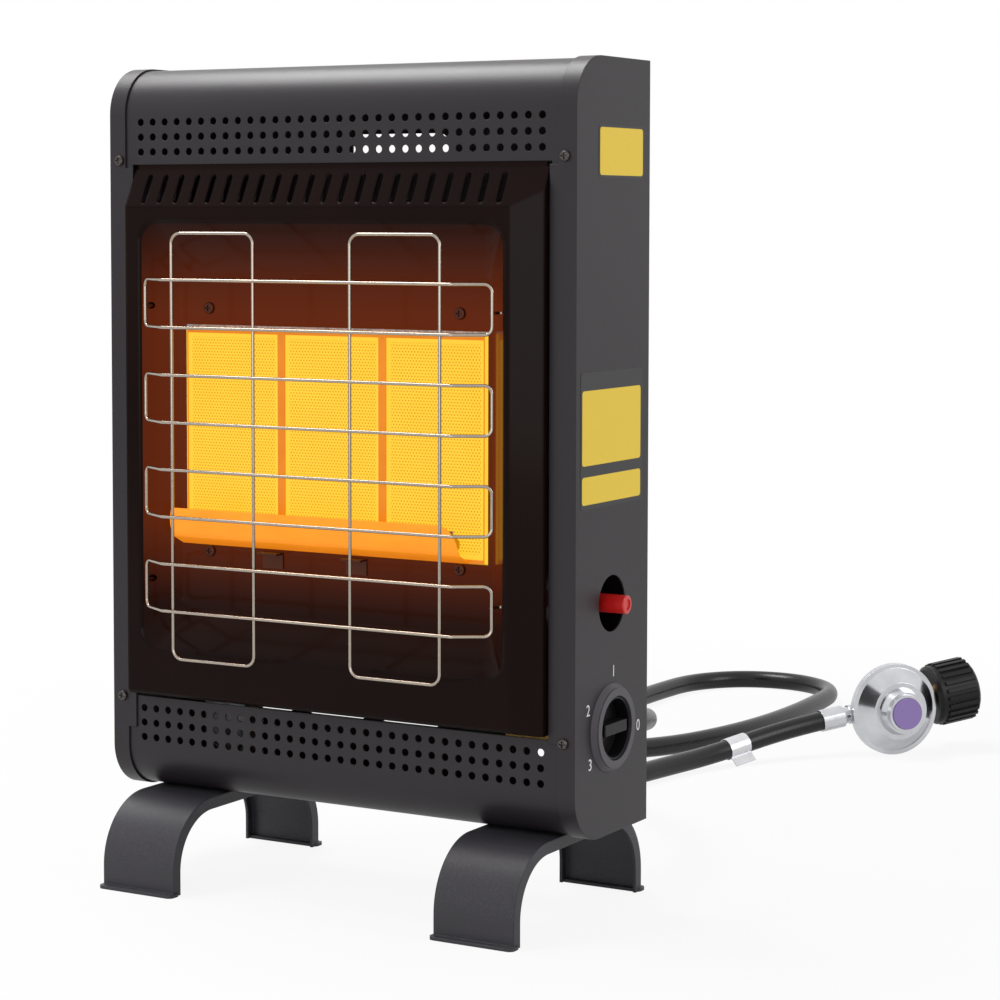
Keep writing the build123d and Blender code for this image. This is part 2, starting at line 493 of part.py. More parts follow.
inlet_pipe, _ = bent_tube(
    [(INLET_X, CONTROL_Y + 24, INLET_Z + 14), (INLET_X, CONTROL_Y + 32, INLET_Z + 14), (INLET_X, 38, INLET_Z),
     (INLET_X, 44, INLET_Z)],
    4.5, [3, 3],
)
save("inlet_pipe", inlet_pipe)
inlet_at = (INLET_X, INLET_Z)


def along_y(y0, y1, radius):
    return rod((inlet_at[0], y0, inlet_at[1]), (inlet_at[0], y1, inlet_at[1]), radius)


fitting = along_y(44, 66, 6.5) + hexagon((inlet_at[0], 46, inlet_at[1]), (inlet_at[0], 53, inlet_at[1]), 19)
fitting_bracket = box(INLET_X - 14, INLET_X + 18, 44.4, 45.6, 79, 113) - along_y(40, 50, 6.6)
save("inlet_fitting", fitting)
save("inlet_bracket", fitting_bracket)

# Safety switch: a weight that hangs in a fork and swings out when the cabinet tips.
SWITCH_X, SWITCH_Y, SWITCH_Z = -120.0, 8.0, 118.0
fork = box(SWITCH_X - 16, SWITCH_X + 16, SWITCH_Y - 12, SWITCH_Y - 10.8, 62, SWITCH_Z + 8)
fork += box(SWITCH_X - 16, SWITCH_X + 16, SWITCH_Y + 10.8, SWITCH_Y + 12, 62, SWITCH_Z + 8)
fork += box(SWITCH_X - 16, SWITCH_X + 16, SWITCH_Y - 12, SWITCH_Y + 12, BOTTOM + COVER_IN + COVER_T + 0.1, 63)
fork += rod((SWITCH_X, SWITCH_Y - 11.5, SWITCH_Z), (SWITCH_X, SWITCH_Y + 11.5, SWITCH_Z), 1.5)
save("tilt_switch_frame", fork)
weight = ring((SWITCH_X, SWITCH_Y - 5, SWITCH_Z), (SWITCH_X, SWITCH_Y + 5, SWITCH_Z), 4.0, 1.55)
weight += box(SWITCH_X - 1.5, SWITCH_X + 1.5, SWITCH_Y - 4, SWITCH_Y + 4, SWITCH_Z - 30, SWITCH_Z - 3)
weight += rod((SWITCH_X, SWITCH_Y, SWITCH_Z - 42), (SWITCH_X, SWITCH_Y, SWITCH_Z - 26), 8.0)
save("tilt_weight", weight)

# Control leads inside the cabinet.
lead, _ = bent_tube(
    [(96, ig_at[0], ig_at[1]), (70, ig_at[0], ig_at[1]), (46, 16, 205), (38, -18, 214), (33, PILOT_Y + 22, 222)],
    1.4, [12, 12, 10],
)
save("igniter_lead", lead)
pilot_pipe, _ = bent_tube(
    [(138, CONTROL_Y - 6, KNOB_Z + 22), (138, CONTROL_Y - 6, 176), (128, -24, 208), (96, -26, 222)],
    2.0, [14, 12],
)
save("pilot_pipe", pilot_pipe)
sensor_lead, _ = bent_tube(
    [(126, CONTROL_Y, KNOB_Z + 24), (126, CONTROL_Y, 172), (108, -14, 198), (70, -20, 206), (52, -26, 220)],
    1.3, [12, 14, 14],
)
save("thermocouple_lead", sensor_lead)


# ---- wire guard --------------------------------------------------------------------------
LOOP_HALF_FLAT, LOOP_HALF = 112.0, 134.5
WIRE_BEND = 5.0


def wire_loop(corners, radius):
    path = FilletPolyline(*corners, radius=radius, close=True)
    return sweep(Plane(origin=path @ 0, z_dir=path % 0) * Circle(WIRE_D / 2), path=path)


rails = []
for k in range(RAIL_LOOPS):
    z1 = RAIL_TOP - 2 * k * RAIL_PITCH
    z0 = z1 - RAIL_PITCH
    rail = wire_loop([
        (DISH_X - LOOP_HALF_FLAT, RAIL_Y, z1), (DISH_X + LOOP_HALF_FLAT, RAIL_Y, z1),
        (DISH_X + LOOP_HALF, HOOK_Y, z1), (DISH_X + LOOP_HALF, HOOK_Y, z0),
        (DISH_X + LOOP_HALF_FLAT, RAIL_Y, z0), (DISH_X - LOOP_HALF_FLAT, RAIL_Y, z0),
        (DISH_X - LOOP_HALF, HOOK_Y, z0), (DISH_X - LOOP_HALF, HOOK_Y, z1),
    ], WIRE_BEND)
    for z in HOOK_Z:
        for side in (-1, 1) if z0 < z < z1 else ():
            x = DISH_X + side * LOOP_HALF
            hook, _ = bent_tube(
                [(x, HOOK_Y - 0.6, z), (x, FRONT - 3.5, z), (x + side * 4.5, FRONT - 3.5, z)], WIRE_D / 2, [3]
            )
            rail += hook
    rails.append(rail)
save("guard_rails", Part() + rails)
posts = [
    wire_loop([(x0, POST_Y, POST_Z[1]), (x1, POST_Y, POST_Z[1]), (x1, POST_Y, POST_Z[0]), (x0, POST_Y, POST_Z[0])], 7)
    for x0, x1 in POST_X
]
save("guard_posts", Part() + posts)


# ---- feet --------------------------------------------------------------------------------
ARCH_R, LEG_OUT = 44.0, 87.0
STRAP_TOP = BOTTOM + COVER_IN - 0.05


def foot_outline(inset):
    """Arch of a foot in the YZ plane: two legs and a flat top, as a filled shape."""
    y, z, r = LEG_OUT - inset, STRAP_TOP - inset, ARCH_R - inset
    k = r * math.sqrt(0.5)
    line = Polyline((-y + r, z), (y - r, z)) + Polyline((y, z - r), (y, 0), (-y, 0), (-y, z - r))
    line += ThreePointArc((y - r, z), (y - r + k, z - r + k), (y, z - r))
    line += ThreePointArc((-y, z - r), (-y + r - k, z - r + k), (-y + r, z))
    return Plane.YZ * make_face(line)


def foot(side):
    """One arched strap with turned-in edges and flared soles."""
    x0 = side * FOOT_X - FOOT_W / 2
    strap = extrude(foot_outline(0), FOOT_W) - extrude(foot_outline(FOOT_T), FOOT_W)
    edge = extrude(foot_outline(0.4), FOOT_T) - extrude(foot_outline(8.0), FOOT_T)
    strap = strap + edge + Pos(FOOT_W - FOOT_T, 0, 0) * edge
    strap = Pos(x0, 0, 0) * strap
    for end in (-1, 1):
        sole = box(x0 - 1.5, x0 + FOOT_W + 1.5, *sorted((end * (LEG_OUT - 6), end * FOOT_L / 2)), 0, 2.2)
        strap += fillet(sole.edges().filter_by(Axis.Z), 4.0)
    strap = Pos(0, FOOT_Y, 0) * strap
    for y in FOOT_SCREW_Y:
        strap -= rod((side * FOOT_X, y, STRAP_TOP - 10), (side * FOOT_X, y, STRAP_TOP + 1), 2.3)
    return strap


save("left_foot", foot(-1))
save("right_foot", foot(1))
foot_screws = [
    pan_screw(side * FOOT_X, y, STRAP_TOP - FOOT_T - 0.02, (0, 0, 1), head=8.5, length=8)
    for side in (-1, 1) for y in FOOT_SCREW_Y
]
save("foot_screws", Part() + foot_screws)


# ---- hose and regulator ------------------------------------------------------------------
heading = Vector(math.cos(math.radians(REG_ANGLE)), math.sin(math.radians(REG_ANGLE)), 0)
reg_axis = heading * math.cos(math.radians(REG_TILT)) + Vector(0, 0, math.sin(math.radians(REG_TILT)))
reg_face = Vector(heading.Y, -heading.X, 0)


def on_axis(distance):
    """A point on the regulator's gas axis, measured from its middle towards the cylinder side."""
    return REG_CENTRE - reg_face * GAS_BACK + reg_axis * distance


def disc(d0, d1, radius, centre=REG_CENTRE):
    return rod(centre + reg_face * d0, centre + reg_face * d1, radius)


def cone(d0, d1, r0, r1):
    plane = Plane(origin=REG_CENTRE + reg_face * d0, z_dir=reg_face)
    return plane * loft([Circle(r0), Pos(0, 0, d1 - d0) * Circle(r1)])


OUTLET_END, INLET_END = -36.0, 35.0
lower = disc(-3.5, -0.1, REG_R) + cone(-16, -3.5, 24, REG_R - 4) + disc(-23, -15, 17)
lower += rod(on_axis(OUTLET_END), on_axis(-10), 8.0) + rod(on_axis(10), on_axis(INLET_END), 9.0)
lower -= disc(0, 10, REG_R + 0.3)
save("regulator_body", lower, at_housing=False)
upper = disc(0.1, 2.6, REG_R) + cone(2.6, 13, REG_R - 3.5, 24) + cone(13, 22, 20, 17.5) + disc(22, 25, 15.6)
upper -= disc(23.2, 27, 13.3)
save("regulator_bonnet", upper, at_housing=False)
save("regulator_cap", disc(23.25, 26.4, 13.0), at_housing=False)

nipple = ring(on_axis(INLET_END + 0.05), on_axis(INLET_END + 36), 6.0, 2.5)
nipple += rod(on_axis(INLET_END + 0.05), on_axis(INLET_END + 4.5), 9.0)
save("cylinder_nipple", nipple, at_housing=False)
WHEEL_L = 38.0
wheel = rod(on_axis(INLET_END + 5), on_axis(INLET_END + 5 + WHEEL_L), 25.0)
wheel = chamfer(wheel.edges().filter_by(GeomType.CIRCLE), 2.5)
rib_plane = Plane(origin=on_axis(INLET_END + 12), z_dir=reg_axis)
for i in range(24):
    rib_turn = Rot(0, 0, i * 15) * Pos(25.0, 0, 14)
    wheel += rib_plane * (rib_turn * Box(3.4, 3.2, 28))
wheel -= rod(on_axis(INLET_END + 4), on_axis(INLET_END + 60), 6.4)
wheel -= rod(on_axis(INLET_END + 14), on_axis(INLET_END + 60), 16.0)
save("cylinder_handwheel", wheel, at_housing=False)

hose_start = Vector(INLET_X + HOUSING_X, 0, INLET_Z)
NUT_Y = 66.0
nut = hexagon((hose_start.X, NUT_Y - 8, INLET_Z), (hose_start.X, NUT_Y + 10, INLET_Z), 22, bore=13.1)
save("hose_nut", nut, at_housing=False)
inlet_ferrule = rod((hose_start.X, NUT_Y + 0.1, INLET_Z), (hose_start.X, NUT_Y + 12, INLET_Z), 6.2)
inlet_ferrule += rod((hose_start.X, NUT_Y + 10.1, INLET_Z), (hose_start.X, NUT_Y + 32, INLET_Z), 9.2)
save("inlet_ferrule", inlet_ferrule, at_housing=False)
FERRULE_L = 20.0
far_end = on_axis(OUTLET_END)
outlet_ferrule = rod(far_end - reg_axis * (FERRULE_L + 6), far_end - reg_axis * 6, 9.2)
outlet_ferrule += rod(far_end - reg_axis * 7, far_end, 7.0)
save("outlet_ferrule", outlet_ferrule, at_housing=False)

hose_end = far_end - reg_axis * (FERRULE_L + 6)
LIE = HOSE_D / 2 + 0.3
HOSE_ROUTE = [
    (hose_start.X, NUT_Y + 32, INLET_Z), (hose_start.X, 158, INLET_Z), (90, 222, 89), (34, 280, 70),
    (-28, 330, 51), (-62, 390, 29), (-53, 450, 12), (-30, 508, LIE), (-12, 568, LIE), (-3, 630, LIE),
    (-1, 693, LIE), (-4, 755, LIE), (-12, 815, LIE), (-58, 851, LIE), (-116, 845, LIE), (-153, 800, LIE),
    (-157, 736, LIE), (-156, 670, LIE), (-161, 600, LIE), (-172, 528, LIE), (-183, 452, LIE), (-183, 374, LIE),
    (-131, 320, LIE), (-59, 314, LIE), (-7, 364, LIE), (4, 428, LIE), (20, 484, LIE + 2),
    (hose_end.X - 36 * reg_axis.X, hose_end.Y - 36 * reg_axis.Y, hose_end.Z - 36 * reg_axis.Z),
    (hose_end.X, hose_end.Y, hose_end.Z),
]


def cord_radii(points):
    """For each corner, an arc as large as its two runs allow: 0.45 of the shorter run over tan(half turn)."""
    radii = []
    for before, here, after in zip(points, points[1:], points[2:]):
        a, b = Vector(*here) - Vector(*before), Vector(*after) - Vector(*here)
        half_turn = math.radians(a.get_angle(b)) / 2
        radii.append(0.45 * min(a.length, b.length) / math.tan(half_turn))
    return radii


bends = cord_radii(HOSE_ROUTE)
hose, hose_path = bent_tube(HOSE_ROUTE, HOSE_D / 2, bends)
save("gas_hose", hose, at_housing=False)

# Foil tag: a band round the hose, with its ends pressed together as a flag that droops to the floor.
TAG_FROM_END, TAG_W, FLAG_L = 84.0, 20.0, 8.5
tag_share = 1 - TAG_FROM_END / hose_path.length
tag_along = (hose_path % tag_share).normalized()
tag_down = Vector(0, 0, -1).cross(tag_along).normalized() + Vector(0, 0, -1)
tag_plane = Plane(origin=hose_path @ tag_share, x_dir=tag_down - tag_along * tag_down.dot(tag_along), z_dir=tag_along)
tag = Circle(HOSE_D / 2 + 0.9) - Circle(HOSE_D / 2 + 0.4)
flag = Pos(HOSE_D / 2 + 0.5 + FLAG_L / 2, 0) * Rectangle(FLAG_L, 0.9)
save("hose_tag", tag_plane * Pos(0, 0, -TAG_W / 2) * extrude(tag + flag, TAG_W), at_housing=False)


# ---- files -------------------------------------------------------------------------------
os.makedirs("parts", exist_ok=True)
for name, solid in nodes.items():
    export_step(solid, f"parts/{name}.step")
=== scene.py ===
import math

import bpy
import numpy as np
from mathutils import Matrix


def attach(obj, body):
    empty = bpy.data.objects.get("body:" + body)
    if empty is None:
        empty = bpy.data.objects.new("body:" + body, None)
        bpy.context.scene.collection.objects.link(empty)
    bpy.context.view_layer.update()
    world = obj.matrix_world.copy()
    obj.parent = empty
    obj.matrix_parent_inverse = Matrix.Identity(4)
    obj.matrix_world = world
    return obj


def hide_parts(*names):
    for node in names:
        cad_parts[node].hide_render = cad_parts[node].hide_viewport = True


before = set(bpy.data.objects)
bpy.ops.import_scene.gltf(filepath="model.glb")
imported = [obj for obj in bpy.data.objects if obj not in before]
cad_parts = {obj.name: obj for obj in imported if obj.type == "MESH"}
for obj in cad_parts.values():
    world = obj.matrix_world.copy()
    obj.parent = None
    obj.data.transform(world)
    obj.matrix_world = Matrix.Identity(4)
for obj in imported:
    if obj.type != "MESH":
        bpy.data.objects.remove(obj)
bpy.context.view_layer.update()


# ---- Camera and studio -------------------------------------------------------------------
# A long lens stands a little above the heater's middle, off its right front corner.
# The floor and the surroundings are white; three soft boxes and a low fill light the object.
camera_data = bpy.data.cameras.new("camera")
camera_data.lens, camera_data.sensor_width = 97.34, 36.0
camera_data.shift_y = -0.11
camera = bpy.data.objects.new("camera", camera_data)
camera.location = (0.9611, -1.5218, 0.4515)
camera.rotation_euler = (math.radians(90 - 3.640), math.radians(-0.111), math.radians(29.744))
bpy.context.scene.collection.objects.link(camera)
bpy.context.scene.camera = camera
bpy.context.scene.view_settings.view_transform = "Standard"


def soft_box(name, place, target, size, power, tint=(1.0, 1.0, 1.0), mirrored=True):
    """A rectangular area lamp at one point, turned to face another. It may stay out of mirrors."""
    lamp = bpy.data.lights.new(name, "AREA")
    lamp.shape, lamp.size, lamp.size_y = "RECTANGLE", size[0], size[1]
    lamp.energy, lamp.color = power, tint
    holder = bpy.data.objects.new(name, lamp)
    holder.location = place
    facing = np.subtract(target, place)
    flat = math.hypot(facing[0], facing[1])
    holder.rotation_euler = (math.atan2(flat, -facing[2]), 0.0, math.atan2(-facing[0], facing[1]))
    holder.visible_glossy = mirrored
    bpy.context.scene.collection.objects.link(holder)


soft_box("key_left", (-1.5, -1.5, 1.6), (0.0, 0.0, 0.28), (0.9, 1.6), 30.0, mirrored=False)
soft_box("fill_front", (0.5, -2.6, 0.5), (0.0, 0.0, 0.3), (1.6, 0.9), 10.0)
soft_box("side_right", (2.2, 0.4, 1.1), (0.15, 0.1, 0.25), (1.0, 1.4), 15.0, (1.0, 0.97, 1.0))
soft_box("top", (-0.9, 0.15, 2.2), (0.0, 0.1, 0.3), (1.2, 0.9), 44.0)


class Wire:
    """A shader socket that takes + - * / and comparisons as numbers do; each adds one Math node."""

    def __init__(self, finish, socket):
        self.finish, self.socket = finish, socket

    def math(self, operation, *others):
        """This socket through one Math node, with the other operands after it."""
        return self.finish.node("ShaderNodeMath", {"operation": operation}, self, *others)

    def __add__(self, other):
        return self.math("ADD", other)

    def __sub__(self, other):
        return self.math("SUBTRACT", other)

    def __rsub__(self, other):
        return self.finish.node("ShaderNodeMath", {"operation": "SUBTRACT"}, other, self)

    def __mul__(self, other):
        return self.math("MULTIPLY", other)

    def __truediv__(self, other):
        return self.math("DIVIDE", other)

    def __lt__(self, other):
        return self.math("LESS_THAN", other)

    def __gt__(self, other):
        return self.math("GREATER_THAN", other)

    def __pow__(self, other):
        return self.math("POWER", other)

    def __abs__(self):
        return self.math("ABSOLUTE")

    def fold(self, pitch):
        """Distance from the middle of the nearest cell of a row of cells of this pitch."""
        return abs((self / pitch).math("FRACT") - 0.5) * pitch


class Finish:
    """A surface finish: one Principled material, with helpers that add nodes and wire them."""

    def __init__(self, name, colour=(0.5, 0.5, 0.5), roughness=0.5, metallic=0.0, **fixed):
        self.material = bpy.data.materials.new(name)
        self.material.use_nodes = True
        self.tree = self.material.node_tree
        self.shader = self.tree.nodes["Principled BSDF"]
        self.set("Base Color", (*colour, 1.0))
        self.set("Roughness", roughness)
        self.set("Metallic", metallic)
        for socket, value in fixed.items():
            self.set(socket.replace("_", " "), value)
        self.place = self.node("ShaderNodeTexCoord", {}, output="Object")

    def node(self, kind, settings, *values, output=0, **named):
        """Adds a node, gives it its settings first, then values or links for its sockets in order."""
        node = self.tree.nodes.new(kind)
        for key, value in settings.items():
            setattr(node, key, value)
        for index, value in enumerate(values):
            self.feed(node.inputs[index], value)
        for key, value in named.items():
            self.feed(node.inputs[key.replace("_", " ")], value)
        return Wire(self, node.outputs[output])

    def feed(self, socket, value):
        """Links a Wire to a socket, or gives the socket a plain value."""
        if isinstance(value, Wire):
            self.tree.links.new(value.socket, socket)
        else:
            socket.default_value = value

    def set(self, name, value):
        """Links or sets one socket of the Principled shader."""
        self.feed(self.shader.inputs[name], value)
        return self

    def noise(self, scale, detail=3.0, stretch=(1.0, 1.0, 1.0)):
        """Noise in object space from 0 to 1, scale in cells per metre."""
        at = self.node("ShaderNodeMapping", {}, self.place, Scale=stretch)
        return self.node("ShaderNodeTexNoise", {}, Vector=at, Scale=scale, Detail=detail)

    def smooth_step(self, value, low, high, at_low, at_high):
        """Eases from one level to another while a value goes from low to high."""
        return self.node(
            "ShaderNodeMapRange", {"interpolation_type": "SMOOTHSTEP"}, value, low, high, at_low, at_high
        )

    def axes(self):
        """The object-space X, Y and Z sockets."""
        split = self.node("ShaderNodeSeparateXYZ", {}, self.place)
        outs = split.socket.node.outputs
        return [Wire(self, outs[i]) for i in range(3)]

    def blend(self, factor, first, second):
        """Colour mix of two colours or links by a factor."""
        colours = [(*c, 1.0) if isinstance(c, tuple) and len(c) == 3 else c for c in (first, second)]
        node = self.tree.nodes.new("ShaderNodeMix")
        node.data_type = "RGBA"
        self.feed(node.inputs[0], factor)
        self.feed(node.inputs[6], colours[0])
        self.feed(node.inputs[7], colours[1])
        return Wire(self, node.outputs[2])

    def bump(self, height, distance, strength=1.0, rounding=0.0):
        """Normal from a height in 0..1 times a distance in metres, over edges rounded by a radius."""
        node = self.tree.nodes.new("ShaderNodeBump")
        node.inputs["Strength"].default_value = strength
        node.inputs["Distance"].default_value = distance
        self.feed(node.inputs["Height"], height)
        if rounding:
            edge = self.tree.nodes.new("ShaderNodeBevel")
            edge.samples = 4
            edge.inputs["Radius"].default_value = rounding
            self.tree.links.new(edge.outputs["Normal"], node.inputs["Normal"])
        self.tree.links.new(node.outputs["Normal"], self.shader.inputs["Normal"])
        return self

    def cover(self, *names):
        """Puts the finish on CAD nodes by name."""
        for name in names:
            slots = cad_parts[name].data.materials
            slots.clear()
            slots.append(self.material)
        return self


def srgb(r, g, b):
    """Display colour, 0 to 255, as the linear values that a shader takes."""
    return tuple(((c / 255 + 0.055) / 1.055) ** 2.4 if c > 10 else c / 255 / 12.92 for c in (r, g, b))


# Floor: a wide white sweep. The object's shadow lies on its diffuse part, which fades into a
# plain white with distance, so that no horizon shows.
floor_finish = Finish("studio_floor", (0.60, 0.60, 0.60), 0.9, Specular_IOR_Level=0.0)
rays = floor_finish.node("ShaderNodeLightPath", {})
seen = Wire(floor_finish, rays.socket.node.outputs["Is Camera Ray"])
mirrored = Wire(floor_finish, rays.socket.node.outputs["Is Glossy Ray"])
glow = floor_finish.tree.nodes.new("ShaderNodeEmission")
floor_finish.feed(glow.inputs["Strength"], 1.0)
mixed = floor_finish.tree.nodes.new("ShaderNodeMixShader")
floor_x, floor_y, floor_z = floor_finish.axes()
SPOT_Y, SPOT_INNER, SPOT_OUTER, SHADOW_SHARE = 0.3, 0.40, 0.95, 0.10
away = (floor_x ** 2.0 + (floor_y - SPOT_Y) ** 2.0) ** 0.5
faded = floor_finish.smooth_step(away, SPOT_INNER, SPOT_OUTER, 1.0 - SHADOW_SHARE, 1.0)
MIRRORED_SHARE = 0.5
floor_finish.feed(mixed.inputs[0], seen * faded + mirrored * MIRRORED_SHARE)
floor_finish.tree.links.new(floor_finish.shader.outputs[0], mixed.inputs[1])
floor_finish.tree.links.new(glow.outputs[0], mixed.inputs[2])
floor_finish.tree.links.new(mixed.outputs[0], floor_finish.tree.nodes["Material Output"].inputs[0])
floor_mesh = bpy.data.meshes.new("floor")
floor_mesh.from_pydata([(-9, -9, 0), (9, -9, 0), (9, 9, 0), (-9, 9, 0)], [], [(0, 1, 2, 3)])
floor_mesh.materials.append(floor_finish.material)
floor = bpy.data.objects.new("floor", floor_mesh)
bpy.context.scene.collection.objects.link(floor)

# Surroundings: plain white where the camera, a reflection or clear glass looks at them, and a
# weaker fill on everything else.
WORLD_FILL = 0.45
world = bpy.data.worlds.new("surroundings")
world.use_nodes = True
bpy.context.scene.world = world
nodes, links = world.node_tree.nodes, world.node_tree.links
path = nodes.new("ShaderNodeLightPath")
strength = None
for ray in ("Is Camera Ray", "Is Glossy Ray", "Is Transmission Ray"):
    level = nodes.new("ShaderNodeMath")
    level.operation = "MULTIPLY_ADD"
    links.new(path.outputs[ray], level.inputs[0])
    level.inputs[1].default_value, level.inputs[2].default_value = 1.0 - WORLD_FILL, WORLD_FILL
    if strength:
        links.new(strength, level.inputs[2])
    strength = level.outputs[0]
links.new(strength, nodes["Background"].inputs["Strength"])
nodes["Background"].inputs["Color"].default_value = (1.0, 1.0, 1.0, 1.0)


# ---- Gas hose ----------------------------------------------------------------------------
# Black rubber hose, 16 mm across with a smooth glossy cover. It leaves the inlet at the back,
# sinks to the floor, runs out in a long loop behind the cabinet and comes back to the regulator.
REGULATOR_MIDDLE = np.array([0.118596, 0.615368, 0.0389])
heading, rise = math.radians(48.0), math.radians(9.0)
REGULATOR_AXIS = np.array([
    math.cos(heading) * math.cos(rise), math.sin(heading) * math.cos(rise), math.sin(rise)
])
HOSE_LIE = 0.0083
hose_route = [
    (0.1165, 0.098, 0.100), (0.1165, 0.158, 0.100), (0.090, 0.222, 0.089),
    (0.034, 0.280, 0.070), (-0.028, 0.330, 0.051), (-0.062, 0.390, 0.029),
    (-0.053, 0.450, 0.012), (-0.030, 0.508, HOSE_LIE), (-0.012, 0.568, HOSE_LIE),
    (-0.003, 0.630, HOSE_LIE), (-0.001, 0.693, HOSE_LIE), (-0.004, 0.755, HOSE_LIE),
    (-0.012, 0.815, HOSE_LIE), (-0.058, 0.851, HOSE_LIE), (-0.116, 0.845, HOSE_LIE),
    (-0.153, 0.800, HOSE_LIE), (-0.157, 0.736, HOSE_LIE), (-0.156, 0.670, HOSE_LIE),
    (-0.161, 0.600, HOSE_LIE), (-0.172, 0.528, HOSE_LIE), (-0.183, 0.452, HOSE_LIE),
    (-0.183, 0.374, HOSE_LIE), (-0.131, 0.320, HOSE_LIE), (-0.059, 0.314, HOSE_LIE),
    (-0.007, 0.364, HOSE_LIE), (0.004, 0.428, HOSE_LIE), (0.020, 0.484, HOSE_LIE + 0.002),
    tuple(REGULATOR_MIDDLE - REGULATOR_AXIS * 0.096), tuple(REGULATOR_MIDDLE - REGULATOR_AXIS * 0.060),
]
hose_curve = bpy.data.curves.new("hose", "CURVE")
hose_curve.dimensions = "3D"
hose_line = hose_curve.splines.new("NURBS")
hose_line.points.add(len(hose_route) - 1)
hose_line.points.foreach_set("co", np.c_[np.array(hose_route), np.ones(len(hose_route))].ravel())
hose_line.order_u, hose_line.use_endpoint_u = 3, True
hose_line.resolution_u = 10
hose_curve.bevel_depth, hose_curve.bevel_resolution = 0.008, 8
hose_curve.use_fill_caps = True
hose = bpy.data.objects.new("hose", hose_curve)
bpy.context.scene.collection.objects.link(hose)
hose_rubber = Finish("hose_rubber", srgb(14, 13, 15), 0.28, Coat_Weight=0.08, Coat_Roughness=0.18,
                     Specular_IOR_Level=0.30)
cover_grain = hose_rubber.noise(900.0, 4.0)
hose_rubber.set("Roughness", cover_grain * 0.18 + 0.20)
dust = hose_rubber.noise(45.0, 5.0)
hose_rubber.set("Base Color", hose_rubber.blend(dust ** 3.0, srgb(10, 9, 11), srgb(26, 24, 27)))
hose_rubber.bump(cover_grain, 0.00015, 0.35)
hose_curve.materials.append(hose_rubber.material)
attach(hose, "cabinet")
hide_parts("gas_hose")


# ---- Cabinet sheets ----------------------------------------------------------------------
# End caps, covers and back: bent steel sheet, punched and then baked with a satin charcoal
# enamel that has a fine orange-peel skin and a faint violet cast in the light.
cabinet_enamel = Finish("cabinet_enamel", srgb(36, 32, 35), 0.42, Coat_Weight=0.05, Coat_Roughness=0.35,
                        Specular_IOR_Level=0.30)
peel = cabinet_enamel.noise(650.0, 2.0)
cloud = cabinet_enamel.noise(6.0, 2.0)
cabinet_enamel.set("Base Color", cabinet_enamel.blend(cloud, srgb(32, 28, 31), srgb(40, 36, 40)))
cabinet_enamel.set("Roughness", peel * 0.10 + 0.36)
cabinet_enamel.bump(peel, 0.00008, 0.4, rounding=0.0009)
cabinet_enamel.cover("left_end_cap", "right_end_cap", "top_cover", "bottom_cover", "back_panel")

# Cross-recessed screws of the cabinet, blackened steel with bright rubbed rims.
black_screw = Finish("black_screw", srgb(46, 44, 46), 0.3, 0.85)
rub = black_screw.noise(1400.0, 3.0)
black_screw.set("Base Color", black_screw.blend(rub ** 4.0 * 3.0, srgb(44, 42, 44), srgb(140, 134, 128)))
black_screw.set("Roughness", rub * 0.3 + 0.18)
black_screw.bump(rub, 0.0001, 0.4)
black_screw.cover("front_cap_screws", "back_cap_screws")
zinc = Finish("zinc_plate", srgb(176, 178, 180), 0.34, 1.0)
spangle = zinc.node("ShaderNodeTexVoronoi", {}, Vector=zinc.place, Scale=420.0, output="Color")
tone = zinc.node("ShaderNodeSeparateColor", {}, spangle)
zinc.set("Base Color", zinc.blend(tone, srgb(150, 152, 156), srgb(196, 198, 200)))
zinc.set("Roughness", tone * 0.2 + 0.26)
zinc.bump(tone, 0.00004, 0.3)
zinc.cover(
    "foot_screws", "burner_mounting_plate", "valve_bracket", "igniter_bracket", "pilot_bracket", "inlet_bracket",
    "tilt_switch_frame", "thermocouple_tip",
)


# ---- Reflector dish ----------------------------------------------------------------------
# One deep-drawn sheet with a dark brown glass enamel fired on it. The enamel is glossy and lies
# in slow waves.
# PAINTED_GLOW_REACH: how far the painted glow of the plates spreads over the dish.
DISH_MIDDLE, PLATE_PITCH, PLATE_MIDDLE_Z, PLATE_HALF_H = -0.013, 0.079, 0.304, 0.073
DISH_MOUTH_Y, DISH_HALF_W, PAINTED_GLOW_REACH = -0.0585, 0.1405, 0.088
dish_enamel = Finish("dish_enamel", srgb(20, 9, 7), 0.12, Specular_IOR_Level=0.06, Emission_Strength=1.0)
wave = dish_enamel.noise(14.0, 2.0)
speck = dish_enamel.noise(900.0, 2.0)
dish_enamel.set("Base Color", dish_enamel.blend(wave, srgb(16, 8, 6), srgb(26, 12, 9)))
dish_enamel.set("Roughness", speck * 0.06 + 0.11)
# Painted glow: the plates' red light on the dish is painted into the glaze as emission. It fades away from the
# plates' edges and is weaker below the scoop.
sunk_x, sunk_y, sunk_z = dish_enamel.axes()
beside = (abs(sunk_x - DISH_MIDDLE) - PLATE_PITCH * 1.5).math("MAXIMUM", 0.0)
above = (abs(sunk_z - PLATE_MIDDLE_Z) - PLATE_HALF_H).math("MAXIMUM", 0.0)
spread = (beside * beside + above * above) ** 0.5
near = dish_enamel.smooth_step(spread, 0.0, PAINTED_GLOW_REACH, 1.0, 0.0)
past_scoop = dish_enamel.node("ShaderNodeMapRange", {}, sunk_z, 0.19, 0.25, 0.15, 1.0)
painted_glow_mask = near * (sunk_y > DISH_MOUTH_Y) * (abs(sunk_x - DISH_MIDDLE) < DISH_HALF_W) * past_scoop
dish_enamel.set("Emission Color", dish_enamel.blend(painted_glow_mask, (0.0, 0.0, 0.0), (0.115, 0.016, 0.002)))
dish_enamel.bump(wave, 0.0008, 0.25, rounding=0.0022)
dish_enamel.cover("reflector_panel")


